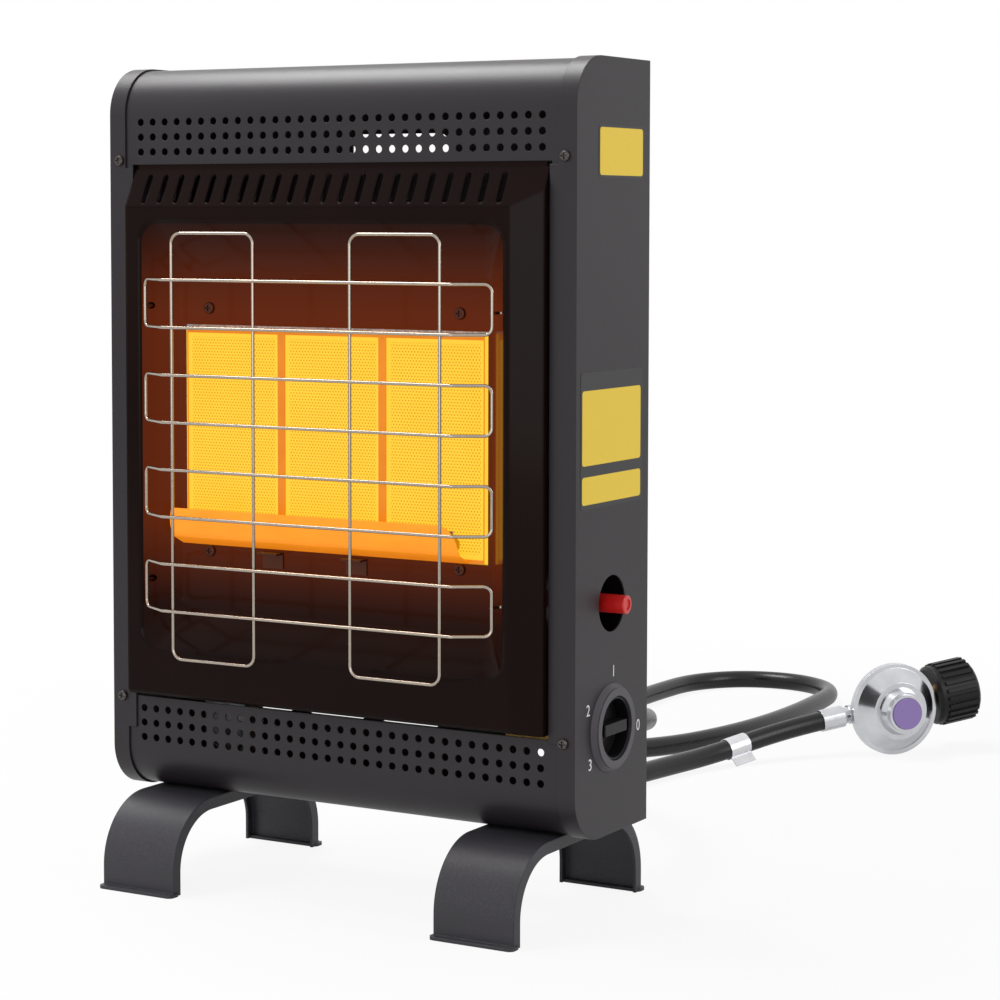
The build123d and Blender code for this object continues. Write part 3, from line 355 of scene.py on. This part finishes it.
# ---- Ceramic burner plates ---------------------------------------------------------------
# Three porous ceramic plates side by side, pressed with hundreds of small flame holes in
# staggered rows. They glow yellow, with deeper orange in the holes and plain bright margins.
ceramic = Finish("glowing_ceramic", srgb(120, 70, 24), 0.9, Emission_Strength=1.0)
across, depth, up = ceramic.axes()
column = (across - (DISH_MIDDLE - PLATE_PITCH * 1.5)).math("MODULO", PLATE_PITCH)
HOLE_PITCH, HOLE_ROW, FIELD_HALF_W, FIELD_HALF_H = 0.00229, 0.00198, 0.0339, 0.0672
row = (up / HOLE_ROW).math("FLOOR")
stagger = row.math("MODULO", 2.0) * (HOLE_PITCH / 2)
dx, dz = (column + stagger).fold(HOLE_PITCH), up.fold(HOLE_ROW)
radius = (dx * dx + dz * dz) ** 0.5
inside_x = abs(column - PLATE_PITCH / 2) < FIELD_HALF_W
inside_z = abs(up - PLATE_MIDDLE_Z) < FIELD_HALF_H
field = inside_x * inside_z
HOLE_CORE, HOLE_EDGE = 0.00035, 0.00085
hole = ceramic.smooth_step(radius, HOLE_CORE, HOLE_EDGE, 1.0, 0.0)
hole = hole * field
heat = ceramic.noise(28.0, 3.0)
hot = ceramic.blend(heat, (0.86, 0.53, 0.020), (0.98, 0.66, 0.040))
plain = ceramic.blend(field * 0.75, (0.96, 0.58, 0.035), hot)
ceramic.set("Emission Color", ceramic.blend(hole, plain, (0.70, 0.33, 0.010)))
ceramic.set("Base Color", ceramic.blend(hole, srgb(130, 84, 34), srgb(90, 44, 14)))
ceramic.bump(1.0 - hole, 0.0006, 0.8)
ceramic.cover("ceramic_plate_1", "ceramic_plate_2", "ceramic_plate_3")


# ---- Burner metalwork --------------------------------------------------------------------
# Frame round the plates, gas box, baffle, mixing tube and the scoop that throws the flame
# forward. Aluminised steel sheet that the heat has coloured straw and orange near the plates.
# The frame and the scoop also carry a painted glow: emission for the plates' orange light on them.
hot_steel = Finish("frame_steel_painted_glow", srgb(150, 84, 30), 0.34, 0.5, Emission_Strength=1.0)
brush = hot_steel.noise(220.0, 4.0, (1.0, 6.0, 9.0))
stain = hot_steel.noise(30.0, 4.0)
hot_steel.set("Base Color", hot_steel.blend(stain, srgb(160, 92, 34), srgb(128, 64, 22)))
hot_steel.set("Roughness", brush * 0.25 + 0.24)
# Painted glow: emission for the plates' orange light on the frame, mottled by the stains.
hot_steel.set("Emission Color", hot_steel.blend(stain, (0.66, 0.215, 0.005), (0.52, 0.140, 0.003)))
hot_steel.bump(brush, 0.0001, 0.4, rounding=0.0006)
hot_steel.cover("burner_face_frame")
lip_steel = Finish("deflector_painted_glow", srgb(170, 92, 24), 0.4, 0.5, Emission_Strength=1.0)
lip_x, lip_y, lip_z = lip_steel.axes()
warm = lip_steel.noise(40.0, 3.0, (1.0, 3.0, 3.0))
# Painted glow: emission for the plates' light on the deflector, brighter on its upper part next to the plates.
drop = lip_steel.node("ShaderNodeMapRange", {}, lip_z, 0.222, 0.240, 0.0, 1.0)
lit_from_above = drop * 0.8 + warm * 0.2
lip_steel.set("Emission Color", lip_steel.blend(lit_from_above, (0.42, 0.030, 0.0005), (0.80, 0.280, 0.008)))
lip_steel.set("Base Color", lip_steel.blend(warm, srgb(160, 80, 20), srgb(180, 104, 30)))
lip_steel.set("Roughness", warm * 0.2 + 0.3)
lip_steel.bump(warm, 0.0001, 0.3, rounding=0.0006)
lip_steel.cover("flame_deflector")
brown_screw = Finish("heated_screw", srgb(70, 34, 20), 0.4, 0.7)
scale_marks = brown_screw.noise(900.0, 3.0)
brown_screw.set("Base Color", brown_screw.blend(scale_marks, srgb(58, 28, 18), srgb(92, 46, 26)))
brown_screw.set("Roughness", scale_marks * 0.2 + 0.3)
brown_screw.bump(scale_marks, 0.0001, 0.3)
brown_screw.cover("burner_screws", "deflector_clips")
cool_steel = Finish("aluminised_steel", srgb(176, 172, 164), 0.4, 0.95)
rolled = cool_steel.noise(180.0, 4.0, (1.0, 5.0, 7.0))
cool_steel.set("Base Color", cool_steel.blend(rolled, srgb(150, 146, 140), srgb(190, 186, 178)))
cool_steel.set("Roughness", rolled * 0.25 + 0.3)
cool_steel.bump(rolled, 0.00008, 0.35)
cool_steel.cover("burner_plenum", "gas_baffle", "mixing_tube")


# ---- Gas control parts inside ------------------------------------------------------------
# Valve, injector, pilot and pendulum are turned and cast brass; the pipes are drawn aluminium;
# the spark electrode is white glazed ceramic.
brass = Finish("turned_brass", srgb(204, 162, 88), 0.28, 1.0)
turning = brass.noise(500.0, 3.0)
brass.set("Base Color", brass.blend(turning, srgb(188, 146, 76), srgb(214, 176, 104)))
brass.set("Roughness", turning * 0.2 + 0.2)
brass.bump(turning, 0.00006, 0.3)
brass.cover(
    "gas_valve", "valve_stem", "stem_collar", "gas_injector", "pilot_burner", "inlet_fitting", "tilt_weight",
    "cylinder_nipple", "hose_nut",
)
drawn = Finish("drawn_aluminium", srgb(190, 192, 196), 0.3, 1.0)
draw_line = drawn.noise(400.0, 3.0)
drawn.set("Base Color", drawn.blend(draw_line, srgb(172, 174, 178), srgb(204, 206, 208)))
drawn.set("Roughness", draw_line * 0.2 + 0.22)
drawn.bump(draw_line, 0.00005, 0.3)
drawn.cover("inlet_pipe", "burner_supply_pipe", "pilot_pipe", "thermocouple_lead")
glaze = Finish("white_glaze", srgb(232, 230, 222), 0.2, Coat_Weight=0.4)
craze = glaze.noise(300.0, 3.0)
glaze.set("Base Color", glaze.blend(craze, srgb(224, 221, 212), srgb(238, 236, 230)))
glaze.set("Roughness", craze * 0.15 + 0.14)
glaze.bump(craze, 0.00005, 0.3)
glaze.cover("spark_electrode")
sleeve = Finish("lead_sleeve", srgb(70, 30, 26), 0.6)
weave = sleeve.noise(1500.0, 2.0)
sleeve.set("Base Color", sleeve.blend(weave, srgb(60, 26, 22), srgb(84, 38, 32)))
sleeve.bump(weave, 0.0001, 0.5)
sleeve.cover("igniter_lead")


# ---- Controls on the side ----------------------------------------------------------------
# The knob and its bezel are black moulded plastic with a fine spark-eroded grain. The knob is
# a dish with a grip bar across it. The igniter's button is red plastic.
knob_plastic = Finish("knob_plastic", srgb(14, 13, 15), 0.45, Specular_IOR_Level=0.25)
grain = knob_plastic.noise(1600.0, 3.0)
knob_plastic.set("Base Color", knob_plastic.blend(grain, srgb(9, 9, 10), srgb(18, 17, 19)))
knob_plastic.set("Roughness", grain * 0.2 + 0.34)
knob_plastic.bump(grain, 0.0001, 0.5, rounding=0.0006)
knob_plastic.cover("control_knob", "piezo_igniter")
bezel_plastic = Finish("bezel_plastic", srgb(62, 58, 64), 0.38)
satin = bezel_plastic.noise(1500.0, 3.0)
bezel_plastic.set("Base Color", bezel_plastic.blend(satin, srgb(52, 49, 55), srgb(70, 66, 72)))
bezel_plastic.set("Roughness", satin * 0.2 + 0.28)
bezel_plastic.bump(satin, 0.00008, 0.4, rounding=0.0007)
bezel_plastic.cover("knob_bezel")
red_plastic = Finish("red_plastic", srgb(206, 26, 26), 0.3, Coat_Weight=0.2, Subsurface_Weight=0.05)
flow = red_plastic.noise(160.0, 3.0)
red_plastic.set("Base Color", red_plastic.blend(flow, srgb(190, 20, 22), srgb(222, 34, 30)))
red_plastic.set("Roughness", flow * 0.15 + 0.24)
red_plastic.bump(flow, 0.0001, 0.3, rounding=0.0005)
red_plastic.cover("igniter_button")

# Dial figures, printed in white enamel round the knob: 0 is closed, 1 to 3 are the burner steps.
SIDE_FACE_X = 0.1745
white_ink = Finish("white_ink", srgb(226, 226, 228), 0.5)
ink = white_ink.noise(2500.0, 2.0)
white_ink.set("Base Color", white_ink.blend(ink, srgb(214, 214, 216), srgb(236, 236, 238)))
white_ink.bump(ink, 0.00003, 0.3)
FIGURE_SIZE, PRINT_LIFT, PRINT_THICK = 0.0105, 0.0001, 0.00008
FIGURE_PLACES = {"0": (0.0370, 0.122), "1": (0.002, 0.1625), "2": (-0.0325, 0.142), "3": (-0.0295, 0.107)}


def new_piece(name, points, faces, finish, body="cabinet"):
    """A flat-shaded mesh from arrays of points and faces, with its finish, riding on a body."""
    mesh = bpy.data.meshes.new(name)
    mesh.from_pydata(np.reshape(points, (-1, 3)).tolist(), [], [list(face) for face in faces])
    mesh.materials.append(finish.material)
    piece = bpy.data.objects.new(name, mesh)
    bpy.context.scene.collection.objects.link(piece)
    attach(piece, body)


for figure, (y, z) in FIGURE_PLACES.items():
    words = bpy.data.curves.new("figure_" + figure, "FONT")
    words.body, words.size, words.extrude = figure, FIGURE_SIZE, PRINT_THICK
    words.align_x = words.align_y = "CENTER"
    words.resolution_u = 6
    holder = bpy.data.objects.new("figure_source", words)
    bpy.context.scene.collection.objects.link(holder)
    flat = bpy.data.meshes.new_from_object(holder.evaluated_get(bpy.context.evaluated_depsgraph_get()))
    local = np.empty(len(flat.vertices) * 3)
    flat.vertices.foreach_get("co", local)
    local = local.reshape(-1, 3)
    points = np.stack([SIDE_FACE_X + PRINT_LIFT + local[:, 2], y + local[:, 0], z + local[:, 1]], -1)
    outlines = [polygon.vertices for polygon in flat.polygons]
    new_piece("dial_figure_" + figure, points, outlines, white_ink)
    bpy.data.objects.remove(holder)


# ---- Blank labels ------------------------------------------------------------------------
# Vinyl labels on the right side, left plain: yellow fields on black vinyl, with rounded corners.


def label_plate(name, y0, y1, z0, z1, lift, thick, radius, finish):
    """A thin plate on the side face. Outline: four quarter circles; the rim is joined to both faces."""
    turn = np.linspace(0, math.pi / 2, 7)
    corners = [(y1 - radius, z1 - radius, 0.0), (y0 + radius, z1 - radius, math.pi / 2),
               (y0 + radius, z0 + radius, math.pi), (y1 - radius, z0 + radius, math.pi * 1.5)]
    ring = np.concatenate([
        np.stack([cy + radius * np.cos(turn + start), cz + radius * np.sin(turn + start)], -1)
        for cy, cz, start in corners
    ])
    count = len(ring)
    back = np.c_[np.full(count, SIDE_FACE_X + lift), ring]
    front = back + [thick, 0, 0]
    around = np.arange(count)
    after = (around + 1) % count
    sides = np.stack([around, after, after + count, around + count], -1).tolist()
    faces = sides + [list(range(count - 1, -1, -1)), list(range(count, 2 * count))]
    new_piece(name, np.r_[back, front], faces, finish)


yellow_vinyl = Finish("yellow_vinyl", srgb(236, 202, 44), 0.42)
print_grain = yellow_vinyl.noise(1200.0, 3.0)
yellow_vinyl.set("Base Color", yellow_vinyl.blend(print_grain, srgb(228, 192, 38), srgb(242, 210, 58)))
yellow_vinyl.set("Roughness", print_grain * 0.15 + 0.34)
yellow_vinyl.bump(print_grain, 0.00003, 0.3)
black_vinyl = Finish("black_vinyl", srgb(20, 19, 20), 0.4)
film = black_vinyl.noise(1200.0, 3.0)
black_vinyl.set("Base Color", black_vinyl.blend(film, srgb(16, 15, 16), srgb(28, 27, 28)))
black_vinyl.set("Roughness", film * 0.15 + 0.32)
black_vinyl.bump(film, 0.00003, 0.3)
VINYL, INK, BACK_ROUND, FIELD_ROUND = 0.00015, 0.00010, 0.0030, 0.0022
for name, y0, y1, z0, z1 in (
    ("upper_back", -0.021, 0.041, 0.477, 0.510),
    ("upper_field", -0.0195, 0.0395, 0.4785, 0.5085),
    ("lower_back", -0.044, 0.041, 0.2695, 0.3555),
    ("lower_field_1", -0.042, 0.038, 0.297, 0.344),
    ("lower_field_2", -0.042, 0.038, 0.2725, 0.2900),
):
    if name.endswith("back"):
        label_plate("label_" + name, y0, y1, z0, z1, 0.0, VINYL, BACK_ROUND, black_vinyl)
    else:
        label_plate("label_" + name, y0, y1, z0, z1, VINYL, INK, FIELD_ROUND, yellow_vinyl)


# ---- Wire guard --------------------------------------------------------------------------
# Bright nickel-plated spring wire, 2.2 mm: four flattened loops across two upright loops,
# spot welded where they cross and hooked into the dish's side walls.
nickel = Finish("nickel_wire", srgb(170, 158, 144), 0.16, 1.0)
plate_grain = nickel.noise(800.0, 3.0)
nickel.set("Base Color", nickel.blend(plate_grain, srgb(156, 144, 130), srgb(184, 174, 162)))
nickel.set("Roughness", plate_grain * 0.12 + 0.07)
nickel.bump(plate_grain, 0.00004, 0.3)
nickel.cover("guard_rails", "guard_posts")


# ---- Feet --------------------------------------------------------------------------------
# Pressed steel arches with a satin charcoal powder coat that has a fine sparkle.
powder_coat = Finish("powder_coat", srgb(58, 56, 61), 0.45, Specular_IOR_Level=0.35)
pebble = powder_coat.node("ShaderNodeTexVoronoi", {}, Vector=powder_coat.place, Scale=2600.0)
drift = powder_coat.noise(1800.0, 3.0)
powder_coat.set("Base Color", powder_coat.blend(drift ** 5.0 * 3.0, srgb(44, 42, 46), srgb(84, 83, 90)))
powder_coat.set("Roughness", pebble * 0.15 + 0.36)
powder_coat.bump(pebble, 0.00008, 0.5, rounding=0.0014)
powder_coat.cover("left_foot", "right_foot")


# ---- Regulator and hose ends -------------------------------------------------------------
# A crimped diaphragm regulator in bright plated zinc, with a violet cap over its adjuster and
# a ribbed black handwheel for the cylinder. Plated ferrules are crimped on the hose.
bright_zinc = Finish("bright_zinc", srgb(206, 207, 212), 0.16, 1.0)
smear = bright_zinc.noise(60.0, 4.0)
bright_zinc.set("Base Color", bright_zinc.blend(smear, srgb(186, 187, 192), srgb(222, 223, 226)))
bright_zinc.set("Roughness", smear * 0.18 + 0.09)
bright_zinc.bump(smear, 0.0004, 0.2, rounding=0.0005)
bright_zinc.cover("regulator_body", "regulator_bonnet", "inlet_ferrule", "outlet_ferrule")
violet = Finish("violet_cap", srgb(140, 116, 176), 0.45)
matt = violet.noise(900.0, 3.0)
violet.set("Base Color", violet.blend(matt, srgb(132, 110, 168), srgb(150, 126, 186)))
violet.set("Roughness", matt * 0.15 + 0.38)
violet.bump(matt, 0.00006, 0.4, rounding=0.0005)
violet.cover("regulator_cap")
wheel_plastic = Finish("wheel_plastic", srgb(14, 13, 15), 0.4, Specular_IOR_Level=0.25)
tooling = wheel_plastic.noise(1200.0, 3.0)
wheel_plastic.set("Base Color", wheel_plastic.blend(tooling, srgb(8, 8, 9), srgb(18, 17, 19)))
wheel_plastic.set("Roughness", tooling * 0.2 + 0.3)
wheel_plastic.bump(tooling, 0.0001, 0.5, rounding=0.0008)
wheel_plastic.cover("cylinder_handwheel")
foil = Finish("foil_tag", srgb(214, 214, 218), 0.3, 0.8)
crumple = foil.noise(120.0, 4.0)
foil.set("Base Color", foil.blend(crumple, srgb(202, 202, 206), srgb(228, 228, 230)))
foil.set("Roughness", crumple * 0.2 + 0.2)
foil.bump(crumple, 0.0006, 0.5)
foil.cover("hose_tag")
